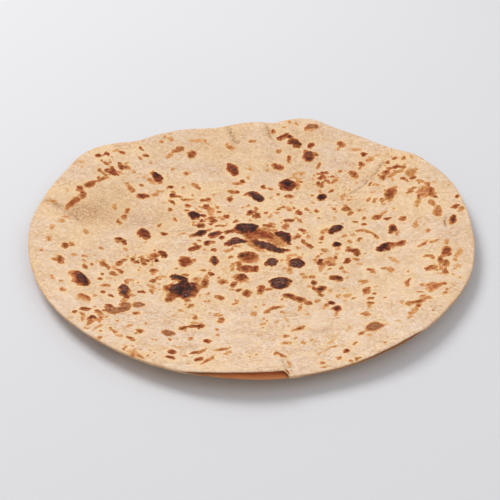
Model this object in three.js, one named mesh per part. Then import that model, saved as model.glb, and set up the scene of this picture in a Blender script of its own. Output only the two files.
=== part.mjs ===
// A chapati, the thin round flatbread of wheat dough. The middle lies flat, and the rim rises in low
// waves. At the front two air pockets reach the rim, where the bread's two layers part in a mouth.
// Millimetres and degrees, +Z up, -Y towards the front. Directions round the rim are counted from +X
// towards +Y. The origin is under the middle of the bread, on the surface that it rests on.
import * as THREE from "three";
import { mergeVertices } from "three/addons/utils/BufferGeometryUtils.js";

// The sheet of dough.
const RADIUS = 123;
const THICKNESS = 1.6;
const LOWER_LAYER = 0.75; // the layer under the seam that runs round the edge
const FLAT_SHARE = 0.5; // the share of the radius that lies flat
const RIM_LIFT = 7.5; // how far the rim's underside stands above the flat middle
const RIM_LEVELLING = 0.6; // 1 gives a rim that levels out again, 0 one that keeps on rising

// Where the rolling pin left the outline fuller or flatter, and where the rim stands higher or lower.
const OUTLINE_WAVES = [
  { at: 28, by: 6.6, wide: 19 },
  { at: 40, by: 2, wide: 4 },
  { at: 60, by: 3.6, wide: 9 },
  { at: 74, by: 5.4, wide: 7 },
  { at: 84, by: -1.9, wide: 2.5 },
  { at: 91, by: 1.5, wide: 5 },
  { at: 101, by: -1.8, wide: 6 },
  { at: 111, by: 1.2, wide: 5 },
  { at: 127, by: -4.5, wide: 6 },
  { at: 143, by: 3.5, wide: 8 },
  { at: 196, by: -1.7, wide: 22 },
  { at: 262, by: 3.8, wide: 25 },
  { at: 328, by: -1.5, wide: 14 },
];
const LIFT_WAVES = [
  { at: 35, by: 3, wide: 15 },
  { at: 74, by: 3.5, wide: 10 },
  { at: 108, by: -2.5, wide: 15 },
  { at: 140, by: 2.5, wide: 15 },
  { at: 170, by: -1.5, wide: 6 },
  { at: 205, by: -1, wide: 20 },
  { at: 240, by: 1, wide: 20 },
  { at: 265, by: 1.5, wide: 12 },
  { at: 310, by: 1, wide: 15 },
  { at: 345, by: -1, wide: 15 },
];

// The air pockets. A mouth runs from one direction round the rim to the other, and is open to its gap at
// the widest share of the way; the more it is pinched, the later it opens. The roof comes down to the
// bread again at the pocket's depth.
const POCKETS = [
  { from: 255.5, to: 279.2, widest: 0.94, pinch: 1, gap: 3.4, depth: 26, cavity: 17, lipSetBack: 1 },
  { from: 289, to: 315, widest: 0.78, pinch: 1.6, gap: 0.85, depth: 9, cavity: 5, lipSetBack: 0.4 },
];
const SEAM_DEPTH = 0.35; // of the seam where the layers are shut
const SEAM_WIDTH = 0.15;

// Blisters that the griddle raised: middle, length, width, the length's direction and the height.
const BLISTERS = [
  { x: 2, y: 10, long: 30, wide: 13, turn: -12, high: 1.6 },
  { x: 10, y: -3, long: 30, wide: 9, turn: -22, high: 1.2 },
  { x: -35, y: -46, long: 19, wide: 15, turn: -70, high: 1.5 },
  { x: -89, y: -45, long: 15, wide: 8, turn: -62, high: 1.3 },
  { x: -65, y: -52, long: 13, wide: 6, turn: -75, high: 0.9 },
  { x: -57, y: 62, long: 12, wide: 7, turn: -50, high: 1.1 },
  { x: -12, y: 75, long: 13, wide: 7, turn: -70, high: 1.1 },
  { x: -33, y: 24, long: 11, wide: 8, turn: -30, high: 0.8 },
  { x: -60, y: 4, long: 11, wide: 7, turn: -65, high: 0.9 },
  { x: 2, y: 45, long: 12, wide: 9, turn: -40, high: 1.2 },
  { x: 21, y: 60, long: 12, wide: 11, turn: 90, high: 1.3 },
  { x: 26, y: 100, long: 13, wide: 9, turn: -55, high: 1.1 },
  { x: 35, y: 88, long: 10, wide: 8, turn: 80, high: 1.0 },
  { x: 36, y: 115, long: 9, wide: 6, turn: 30, high: 0.7 },
  { x: 41, y: 48, long: 8, wide: 6, turn: 45, high: 0.8 },
  { x: 48, y: 13, long: 12, wide: 7, turn: 50, high: 1.0 },
  { x: 75, y: -4, long: 13, wide: 7, turn: 40, high: 1.1 },
  { x: 25, y: -20, long: 10, wide: 9, turn: 0, high: 1.1 },
  { x: 16, y: -39, long: 13, wide: 9, turn: -8, high: 1.1 },
  { x: 0, y: -15, long: 11, wide: 9, turn: 0, high: 0.9 },
  { x: 103, y: 44, long: 18, wide: 11, turn: -70, high: 0.8 },
  { x: 62, y: -80, long: 11, wide: 7, turn: 30, high: 0.7 },
];

// Creases, as runs of points that the groove follows.
const CREASES = [
  { deep: 0.8, wide: 4, along: [[-121, 26], [-108, 21], [-98, 14], [-90, 7]] },
  { deep: 0.8, wide: 3.5, along: [[11, 125], [9, 116], [12, 106]] },
  { deep: 0.6, wide: 3.5, along: [[-15, 121], [-14, 111], [-10, 103]] },
  { deep: 0.5, wide: 4, along: [[80, 76], [72, 66], [64, 53]] },
];

// How finely the bread is divided: round the rim, and from the middle outwards.
const TURN_STEPS = 120;
const TOP_RINGS = 23;
const UNDERSIDE_SHARES = [0, 0.5, 0.6, 0.7, 0.8, 0.9];

const BREAD_COLOUR = 0xe9ccab;

const { clamp, degToRad, euclideanModulo, lerp, smoothstep } = THREE.MathUtils;

function bell(distance, width) {
  return Math.exp(-((distance / width) ** 2));
}

// The sum of the waves at one direction round the rim.
function wavesAt(direction, waves) {
  return waves.reduce((sum, wave) => {
    const apart = euclideanModulo(direction - wave.at + 180, 360) - 180;
    return sum + wave.by * bell(apart, wave.wide);
  }, 0);
}

function outlineAt(direction) {
  return RADIUS + wavesAt(direction, OUTLINE_WAVES);
}

// The height of the sheet's underside at a share of the way out to the edge.
function sheetAt(share, direction) {
  const up = clamp((share - FLAT_SHARE) / (1 - FLAT_SHARE), 0, 1);
  const rise = RIM_LEVELLING * smoothstep(up, 0, 1) + (1 - RIM_LEVELLING) * up * up;
  return rise * (RIM_LIFT + wavesAt(direction, LIFT_WAVES));
}

// How far a pocket's mouth is open at one direction, from 0 to 1.
function mouthAt(direction, { from, to, widest, pinch }) {
  const along = clamp((euclideanModulo(direction, 360) - from) / (to - from), 0, 1);
  const opening = Math.min(along / widest, 1);
  const shutting = clamp((along - widest) / (1 - widest), 0, 1);
  return Math.sin((opening * Math.PI) / 2) ** pinch * Math.cos((shutting * Math.PI) / 2);
}

// How far the pockets' roofs are lifted off the lower layer, at a distance in from the edge.
function pocketsAt(inset, direction) {
  return POCKETS.reduce((sum, pocket) => {
    const open = mouthAt(direction, pocket);
    const depth = pocket.depth * Math.sqrt(open);
    return depth > 0 ? sum + pocket.gap * open * (1 - smoothstep(inset, 0, depth)) : sum;
  }, 0);
}

// How deep the seam between the layers reaches in.
function seamDepthAt(direction) {
  const depths = POCKETS.map((pocket) =>
    lerp(SEAM_DEPTH, pocket.cavity, Math.sqrt(mouthAt(direction, pocket))),
  );
  return Math.max(...depths);
}

// How far the upper lip stands back from the outline.
function lipSetBackAt(direction) {
  return POCKETS.reduce((sum, pocket) => sum + pocket.lipSetBack * mouthAt(direction, pocket), 0);
}

function blistersAt(x, y) {
  return BLISTERS.reduce((sum, blister) => {
    const turn = degToRad(blister.turn);
    const dx = x - blister.x;
    const dy = y - blister.y;
    const along = (dx * Math.cos(turn) + dy * Math.sin(turn)) / (blister.long / 2);
    const across = (dy * Math.cos(turn) - dx * Math.sin(turn)) / (blister.wide / 2);
    return sum + blister.high * bell(Math.hypot(along, across), 1);
  }, 0);
}

function creasesAt(x, y) {
  const here = new THREE.Vector3(x, y, 0);
  const nearest = new THREE.Vector3();
  return CREASES.reduce((sum, crease) => {
    const points = crease.along.map(([px, py]) => new THREE.Vector3(px, py, 0));
    const distances = points.slice(1).map((end, i) =>
      new THREE.Line3(points[i], end).closestPointToPoint(here, true, nearest).distanceTo(here),
    );
    return sum - crease.deep * bell(Math.min(...distances), crease.wide / 2);
  }, 0);
}

// The section of the bread, from the middle of the underside out to the edge and back over the top.
// Each ring states its inset from the edge, its level above the underside, and how it moves where a
// pocket is open: rings of the upper layer lift, rings of the seam reach in, and the upper lip sets back.
function breadRings() {
  const upper = LOWER_LAYER + SEAM_WIDTH;
  const underside = UNDERSIDE_SHARES.map((share) => ({ inset: RADIUS * (1 - share), level: 0 }));
  const lowerLip = [
    { inset: 0.9, level: 0 },
    { inset: 0.15, level: 0.2 },
    { inset: 0, level: 0.5 },
    { inset: 0.12, level: LOWER_LAYER },
  ];
  const seam = [
    { seam: 0.5, level: LOWER_LAYER },
    { seam: 1, level: LOWER_LAYER },
    { seam: 1, level: upper, lifts: true },
    { seam: 0.5, level: upper, lifts: true },
  ];
  const upperLip = [
    { inset: 0.12, level: upper, lifts: true, setsBack: true },
    { inset: 0.1, level: 1.25, lifts: true, setsBack: true },
    { inset: 0.5, level: 1.52, lifts: true, setsBack: true },
  ];
  const top = Array.from({ length: TOP_RINGS + 1 }, (_, i) => ({
    inset: 1.6 + ((RADIUS - 1.6) * i) / TOP_RINGS,
    level: THICKNESS,
    lifts: true,
    setsBack: i === 0,
    top: true,
  }));
  return [...underside, ...lowerLip, ...seam, ...upperLip, ...top];
}

// The place of a ring's point at one direction.
function placeOf(ring, direction) {
  const outline = outlineAt(direction);
  const setBack = ring.setsBack ? lipSetBackAt(direction) : 0;
  const inset = ring.seam ? ring.seam * seamDepthAt(direction) : ring.inset + setBack;
  const radius = (1 - inset / RADIUS) * outline;
  const x = radius * Math.cos(degToRad(direction));
  const y = radius * Math.sin(degToRad(direction));
  let z = sheetAt(radius / outline, direction) + ring.level;
  if (ring.lifts) z += pocketsAt(inset, direction);
  if (ring.top) z += blistersAt(x, y) + creasesAt(x, y);
  return [x, y, z];
}

// Spins the section into a disc, and then moves each of its points to the bread's own shape.
function breadGeometry() {
  const rings = breadRings();
  const section = rings.map((ring) => new THREE.Vector2(RADIUS - (ring.inset ?? ring.seam), ring.level));
  const geometry = new THREE.LatheGeometry(section, TURN_STEPS).rotateX(Math.PI / 2);
  const position = geometry.getAttribute("position");
  const stepTurn = 360 / TURN_STEPS;
  for (let i = 0; i < position.count; i++) {
    const ring = rings[i % rings.length];
    const step = Math.floor(i / rings.length) % TURN_STEPS;
    position.setXYZ(i, ...placeOf(ring, step * stepTurn - 90));
  }
  geometry.deleteAttribute("normal");
  geometry.deleteAttribute("uv");
  const bread = mergeVertices(geometry, 1e-4);
  bread.computeBoundingBox();
  const middle = bread.boundingBox.getCenter(new THREE.Vector3());
  bread.translate(-middle.x, -middle.y, 0);
  bread.computeVertexNormals();
  return bread;
}

const chapati = new THREE.Group();
const bread = new THREE.Mesh(
  breadGeometry(),
  new THREE.MeshStandardMaterial({ color: BREAD_COLOUR, roughness: 0.9, metalness: 0 }),
);
bread.name = "chapati";
chapati.add(bread);

export default chapati;
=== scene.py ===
# A chapati straight off the griddle: one sheet of wheat dough, scorched where it blistered.
# The sheet is drawn in millimetres on the drawing's own axes, as in the part's source: +Z up, -Y to the
# front, directions counted in degrees from +X towards +Y. fit_to_frame() then carries it to the frame.
import math

import bmesh
import bpy
import numpy as np
from mathutils import Matrix, Vector
from mathutils.noise import noise_vector, seed_set


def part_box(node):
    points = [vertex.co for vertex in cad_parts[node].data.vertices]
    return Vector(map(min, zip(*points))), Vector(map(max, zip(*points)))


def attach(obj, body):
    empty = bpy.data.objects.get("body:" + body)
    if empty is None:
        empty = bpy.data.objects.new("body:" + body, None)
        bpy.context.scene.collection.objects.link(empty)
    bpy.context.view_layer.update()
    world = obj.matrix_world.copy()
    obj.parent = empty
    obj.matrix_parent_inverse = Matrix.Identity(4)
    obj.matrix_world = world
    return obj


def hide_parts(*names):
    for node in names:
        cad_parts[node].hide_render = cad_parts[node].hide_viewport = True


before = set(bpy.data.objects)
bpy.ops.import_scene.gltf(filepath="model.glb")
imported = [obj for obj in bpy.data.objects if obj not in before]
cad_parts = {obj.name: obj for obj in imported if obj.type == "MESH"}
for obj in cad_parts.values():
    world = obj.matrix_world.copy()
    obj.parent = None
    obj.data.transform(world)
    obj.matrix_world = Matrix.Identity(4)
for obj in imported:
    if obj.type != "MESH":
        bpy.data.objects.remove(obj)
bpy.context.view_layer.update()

MM = 0.001

# The sheet of dough: its size, the share of the way out over which it lies flat, how high its rim rises
# beyond that, and what share of the rise levels out at the edge.
RADIUS = 123
THICKNESS = 1.6
LOWER_LAYER = 0.75
FLAT_SHARE = 0.5
RIM_LIFT = 7.5
RIM_LEVELLING = 0.6

# Where the rolling pin left the outline fuller or flatter, and where the rim stands higher or lower: the
# direction, by how much, and how far to either side.
OUTLINE_WAVES = [
    (28, 6.6, 19), (40, 2, 4), (60, 3.6, 9), (74, 5.4, 7), (84, -1.9, 2.5), (91, 1.5, 5), (101, -1.8, 6),
    (111, 1.2, 5), (127, -4.5, 6), (143, 3.5, 8), (196, -1.7, 22), (262, 3.8, 25), (328, -1.5, 14),
]
LIFT_WAVES = [
    (35, 3, 15), (74, 3.5, 10), (108, -2.5, 15), (140, 2.5, 15), (170, -1.5, 6), (205, -1, 20), (240, 1, 20),
    (265, 1.5, 12), (310, 1, 15), (345, -1, 15),
]

# Small waves in the outline: how many of each length go round it, and how far each strays.
EDGE_WAVES = (17, 29, 43, 71)
EDGE_STRAY = 0.04

# The air pockets that reach the rim, each with a mouth that opens widest at a share of the way along. The
# more it is pinched, the later it opens. Its roof's edge is set back, which fades out at SET_BACK_REACH.
# LEAST_DEPTH keeps a shut mouth's depth above 0. Where no mouth is open, the two layers meet in a seam.
# The last number of each pocket is how strongly the inside of its mouth is painted with the warm, dark shade
# of the narrow gap.
POCKETS = [
    dict(start=255.5, end=279.2, widest=0.94, pinch=1, gap=3.4, depth=26, cavity=17, set_back=1, painted_shade=1),
    dict(start=289, end=315, widest=0.78, pinch=1.6, gap=0.85, depth=9, cavity=5, set_back=0.4, painted_shade=0.6),
]
SET_BACK_REACH = 8
LEAST_DEPTH = 0.001
SEAM_DEPTH = 0.35
SEAM_WIDTH = 0.15

# Painted shade on the shut seam at the front right, whose edge faces away from the key light: from and to
# which direction, over how far it fades, how strong.
SEAM_SHADE = (280, 317, 4, 0.55)

# Blisters that the griddle raised: middle, length, width, the length's direction and the height.
BLISTERS = [
    (2, 10, 30, 13, -12, 1.6), (10, -3, 30, 9, -22, 1.2), (-35, -46, 19, 15, -70, 1.5),
    (-89, -45, 15, 8, -62, 1.3), (-65, -52, 13, 6, -75, 0.9), (-57, 62, 12, 7, -50, 1.1),
    (-12, 75, 13, 7, -70, 1.1), (-33, 24, 11, 8, -30, 0.8), (-60, 4, 11, 7, -65, 0.9),
    (2, 45, 12, 9, -40, 1.2), (21, 60, 12, 11, 90, 1.3), (26, 100, 13, 9, -55, 1.1), (35, 88, 10, 8, 80, 1),
    (36, 115, 9, 6, 30, 0.7), (41, 48, 8, 6, 45, 0.8), (48, 13, 12, 7, 50, 1), (75, -4, 13, 7, 40, 1.1),
    (25, -20, 10, 9, 0, 1.1), (16, -39, 13, 9, -8, 1.1), (0, -15, 11, 9, 0, 0.9),
    (103, 44, 18, 11, -70, 0.8), (62, -80, 11, 7, 30, 0.7),
]

# Creases: how deep and wide the groove is, and the points that it runs through. The last is a fold that
# stands up beside the mouth.
CREASES = [
    (0.8, 4, [(-121, 26), (-108, 21), (-98, 14), (-90, 7)]),
    (0.8, 3.5, [(11, 125), (9, 116), (12, 106)]),
    (0.6, 3.5, [(-15, 121), (-14, 111), (-10, 103)]),
    (0.5, 4, [(80, 76), (72, 66), (64, 53)]),
    (-0.8, 2.2, [(20, -121), (19.2, -113), (17, -107), (12, -103)]),
]

# Cracks in the dry flour and dark lines along the creases, partly painted shade in the folds: how strong
# they show, and the points that they run through.
CRACK_AND_SHADE_LINES = [
    (0.9, [(80, 78.5), (78, 75.5), (75, 71), (71, 65.5)]),
    (0.8, [(71, 65.5), (68, 61), (63, 56), (57, 50.5)]),
    (1.1, [(57, 50.5), (54, 48)]),
    (0.45, [(-118, 28), (-111, 24), (-104, 19)]),
    (1.2, [(-103.5, 18), (-100, 15.5), (-97.5, 12.5)]),
    (0.85, [(9, 118), (10.5, 110), (12, 105)]),
    (0.85, [(-14.5, 119), (-14, 112), (-12, 106), (-9, 103)]),
    (0.9, [(109.8, 21), (109.4, 16), (110, 11)]),
    (0.5, [(-45, 8), (-36, 9), (-33, 11)]),
]
CRACK_WIDTH = 0.5

# How far the griddle puffed the marks up: their kinds, how far inside them it sets in and is full, and the
# height. Then the slight unevenness of the whole top: grain, seed and height.
PUFFS = [(("char", "dark"), -1.2, 1, 0.3), (("brown",), -0.8, 0.8, 0.16)]
UNEVENNESS = [(13, 3, 0.28), (5.5, 4, 0.14), (2.2, 5, 0.05)]

# How finely the sheet is divided, from left to right and from front to back.
TOP_STEPS = (324, 234)
UNDERSIDE_STEPS = 70

# Scorch marks, from the blackest to the palest: middle, length, width and the length's direction.
CHAR_MARKS = [
    (-2, 12.6, 12.5, 7.5, -8), (-6, 10.8, 6, 3.6, 15), (-0.5, 9.3, 8, 4.8, -20), (17.8, 6.4, 8.5, 5.4, -6),
    (19.6, 3, 5, 6.5, -15), (20.9, -1.2, 2.2, 4.6, 12), (4, -3, 7.5, 3.8, -42), (10, -6.3, 17, 5.2, -27),
    (14.5, -8.6, 9, 4, -10), (-8.5, -0.8, 8.5, 5, 12), (-36.5, -48.3, 11.4, 9.6, -30),
    (-34.5, -52.3, 6.5, 5, 0), (-33, -47.6, 5.8, 10.4, 6), (-34.3, -42, 6, 4.4, -65),
    (-37.5, -37.6, 10.6, 4.6, -28), (-33, 24, 8.6, 6.4, -72), (-87.5, -45.5, 12.2, 4.8, -60),
    (-65, -51, 11, 4.9, -78), (3.2, 44.6, 9.4, 6.6, -50), (21.5, 61, 10, 5.5, 80), (41.2, 47, 7, 5, 50),
    (47.6, 12.8, 10, 5, 48), (72.8, -5, 8.6, 4.8, 60), (48, -1.2, 4.5, 4.3, 20), (11.3, -20.3, 7.6, 5.6, 65),
    (25.2, -21.2, 8, 8, 0), (16.3, -38.5, 11.4, 6.4, -3), (15.8, -40.6, 9.6, 7.2, 0),
    (-56.4, 62.2, 8.8, 2.9, -52), (-28.3, 6.6, 6.6, 4.8, 42), (-19.6, 6.2, 6.4, 3.8, 25),
    (-78.2, -80.4, 3.2, 2.6, 90), (-50.4, -21.2, 3, 2.1, -45), (23.2, 106.3, 2.6, 2.4, 0),
    (42.5, -55.8, 2.8, 2.4, 0), (-4, -15.8, 4.4, 3.4, 20), (-19.9, -19.8, 7.4, 3.2, -85),
    (2.9, -26.9, 3, 1.6, 80), (-12, -3.2, 6.5, 3.4, 48), (-4.6, -0.8, 5, 2.4, -15), (-35.2, -46.4, 7, 8, 0),
    (37.8, -18.6, 5.4, 2.2, 78), (-3.4, 8.4, 9, 3.4, -14),
]
DARK_MARKS = [
    (-88.6, -45.2, 14.5, 6.6, -62), (-65, -52, 13, 5.5, -78), (21, 59.5, 13, 9.5, 85),
    (74.3, -4.2, 10.5, 6.6, 45), (-11.5, 8.2, 7, 2, 12), (-14, 7.7, 3, 2.4, 10), (-4.5, 9, 10, 4, -14),
    (-3, -15.3, 7.6, 6, 20), (-30, -47, 12, 5.4, 82), (-35.5, -49, 13.5, 11, -40),
    (-37.6, -38.3, 11.5, 4.8, -30), (-3.9, -34.2, 6, 5.2, -60), (-19.8, -20, 8.5, 4.6, -85),
    (-12.2, 75, 12.2, 6.6, -68), (34.4, 87.7, 9, 6.2, 85), (26.2, 100.2, 9.5, 5.6, -55),
    (24, 100.3, 5, 3.8, 0), (80, 14, 7, 4.6, 85), (114, 17.3, 8.8, 3.2, 75), (116.8, 29.5, 5, 2.5, 35),
    (-59.7, 3.8, 10.5, 6.2, -65), (-26.2, 34, 5.5, 3.2, 75), (-28.5, 41.3, 3, 2.6, 0),
    (-48.7, 53.2, 3.6, 2.4, -10), (-46.5, 38.3, 5, 1.8, -50), (-1, 28.7, 5.8, 3, 73),
    (2.8, 25.8, 5.6, 3, 85), (-14, 24.2, 3.4, 3.2, 0), (-21.2, 19.2, 3.2, 2.4, 0), (-28, 18.5, 2.8, 1.6, 90),
    (-28.3, 13.7, 5, 4.2, 20), (-16.3, 2.2, 2.8, 2.8, 0), (27.3, 30, 4.8, 2.4, -55),
    (21.4, 21.4, 7, 2.6, 12), (29.6, 0.3, 4.6, 1.9, -62), (32.6, -3.7, 4.2, 2, -50), (56.3, -7, 8, 3.4, 5),
    (58.8, -10, 4, 3, 70), (52.8, -17.3, 4.6, 2.8, 55), (46, -33.5, 7.4, 4.8, -5),
    (34.2, -37.9, 3.2, 2.6, -70), (37.8, -42.8, 5.6, 3.3, 35), (34.6, -43.6, 3.2, 2.6, 0),
    (36.7, -46.3, 3.4, 2.2, 80), (45.5, -61, 4.6, 3.7, 80), (20.8, -50.4, 6.2, 3.8, -5),
    (25.6, -53, 5.6, 3.4, -30), (20.6, -8.8, 3.4, 1.6, 0), (-24, -3.3, 4.8, 3.6, 70),
    (-31, -8.4, 7, 3.8, 28), (-20, -10, 2.8, 2.4, 0), (-48, -15, 6, 4, -50), (-21, -32.7, 3.6, 3.6, 0),
    (-8.6, -41.2, 4.6, 2.8, 80), (-55.7, -50.8, 3.8, 3, 0), (3, -26.6, 5.2, 3, 80), (-73, -2.3, 5, 3, 5),
    (-70.4, -4.8, 6, 2, -68), (-69.6, -32.8, 3.8, 2.2, -40), (-71.3, -57.8, 2.2, 1.8, -15),
    (-93.2, 74.2, 3.4, 3, 0), (-88.5, 77, 3.6, 2.4, -60), (-79.2, 79.9, 3.2, 3, 0),
    (-68.5, 87, 3.6, 1.6, -65), (-79, 67.5, 6.5, 3, -70), (-83, 60.8, 7.4, 4.3, -25),
    (-84, 64, 4.2, 1.5, -75), (-86.6, 61.8, 3.6, 3, 0), (68.2, 88.5, 4.2, 3.4, 90),
    (66.3, 78.8, 4, 2.3, -75), (36, 98.3, 5.2, 2.8, 70), (78.2, 24, 4, 2.2, 5), (119.3, 39.2, 2.8, 2, 90),
    (70.3, 58.4, 4, 1.3, 65), (-25, -106, 4.8, 1.6, 12), (-36.5, -106.5, 4.4, 3, -15),
    (-36.5, -111.6, 5, 2.5, -38), (-23.3, -112.3, 4, 2.8, 60), (-20.3, -94.3, 3.6, 3.4, 0),
    (-24.5, -80, 4.4, 3.2, 0), (-28, -80, 5, 2.2, 8), (-32.5, -82.5, 6, 2, 35), (47.3, -101.8, 3, 2.6, 0),
    (-82, -72.8, 5.5, 3, -15), (36.8, -13.8, 2.6, 1.3, 50), (-34.5, -19.5, 4, 3, -80),
    (-64, 42.4, 7.4, 4.2, 13), (-48.6, 5, 3.6, 2.8, -40), (-22.8, 15.7, 2.2, 1.9, 0),
    (-28.4, 24, 4.4, 2.2, -5), (-32, 4, 5, 3, 40), (-21.6, 3.8, 4.6, 4.2, 0), (-46.8, 45.6, 3.2, 2.8, 0),
    (-36.8, 89.4, 5.6, 2.8, 85), (-57, 61.2, 11.4, 5.2, -55), (-6.2, 63.3, 3.6, 2.2, 80),
    (1.6, 47, 9.5, 6.6, -50), (18.6, 107, 8, 3.7, 35), (22.3, 47.6, 3.6, 2, -10), (40.8, 67.4, 3.9, 3, 0),
    (42, 71.8, 5.2, 2, -80), (39.7, 61.8, 5.4, 2.2, 85), (42.2, 61.8, 5, 2.3, 60), (45.2, 63.8, 5.4, 2, -50),
    (45, 73, 3.2, 2.4, -30), (48, 68.3, 1.8, 1.6, 0), (28.8, 12, 4.2, 2.6, -5), (-18.6, 28.7, 2.4, 2, 0),
    (-4.8, -0.9, 5.4, 2.6, -10), (-47, 29.6, 3, 1.7, -75), (47, 54.2, 3.5, 1.9, 65),
    (46.7, -14, 2.1, 1.7, 60), (55.3, 35.8, 3, 2, 80), (62, -44, 3.4, 1.8, 60), (86.6, -59.6, 4.8, 2.1, 25),
    (87, 72.4, 5.4, 2.2, 8), (40, 71.6, 2.2, 1.9, 0), (-3, 7.6, 12, 5.4, -12), (-70.4, -68.4, 5, 3.2, -22),
    (-87.3, -76.6, 2.2, 1.8, 80), (-64, -20.8, 3.8, 1.6, -75), (-61.8, -23.5, 3.4, 2.2, 0),
    (-58.3, -22.5, 6, 1.2, -85), (-57.3, -25, 2.6, 2.2, 0), (-56, -21.5, 3.8, 2, -10),
    (38, -18.5, 5.5, 1.9, 78), (-64.6, -69, 4.4, 1.9, 58), (-62.7, -69.4, 3.4, 1.5, 58),
    (-55.6, -62, 3.4, 1.8, -25), (62.3, 67.4, 2.8, 1.4, -75), (104.7, 45.4, 7, 1.4, -75),
    (81.9, 47, 4, 2.2, 65),
]
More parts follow.
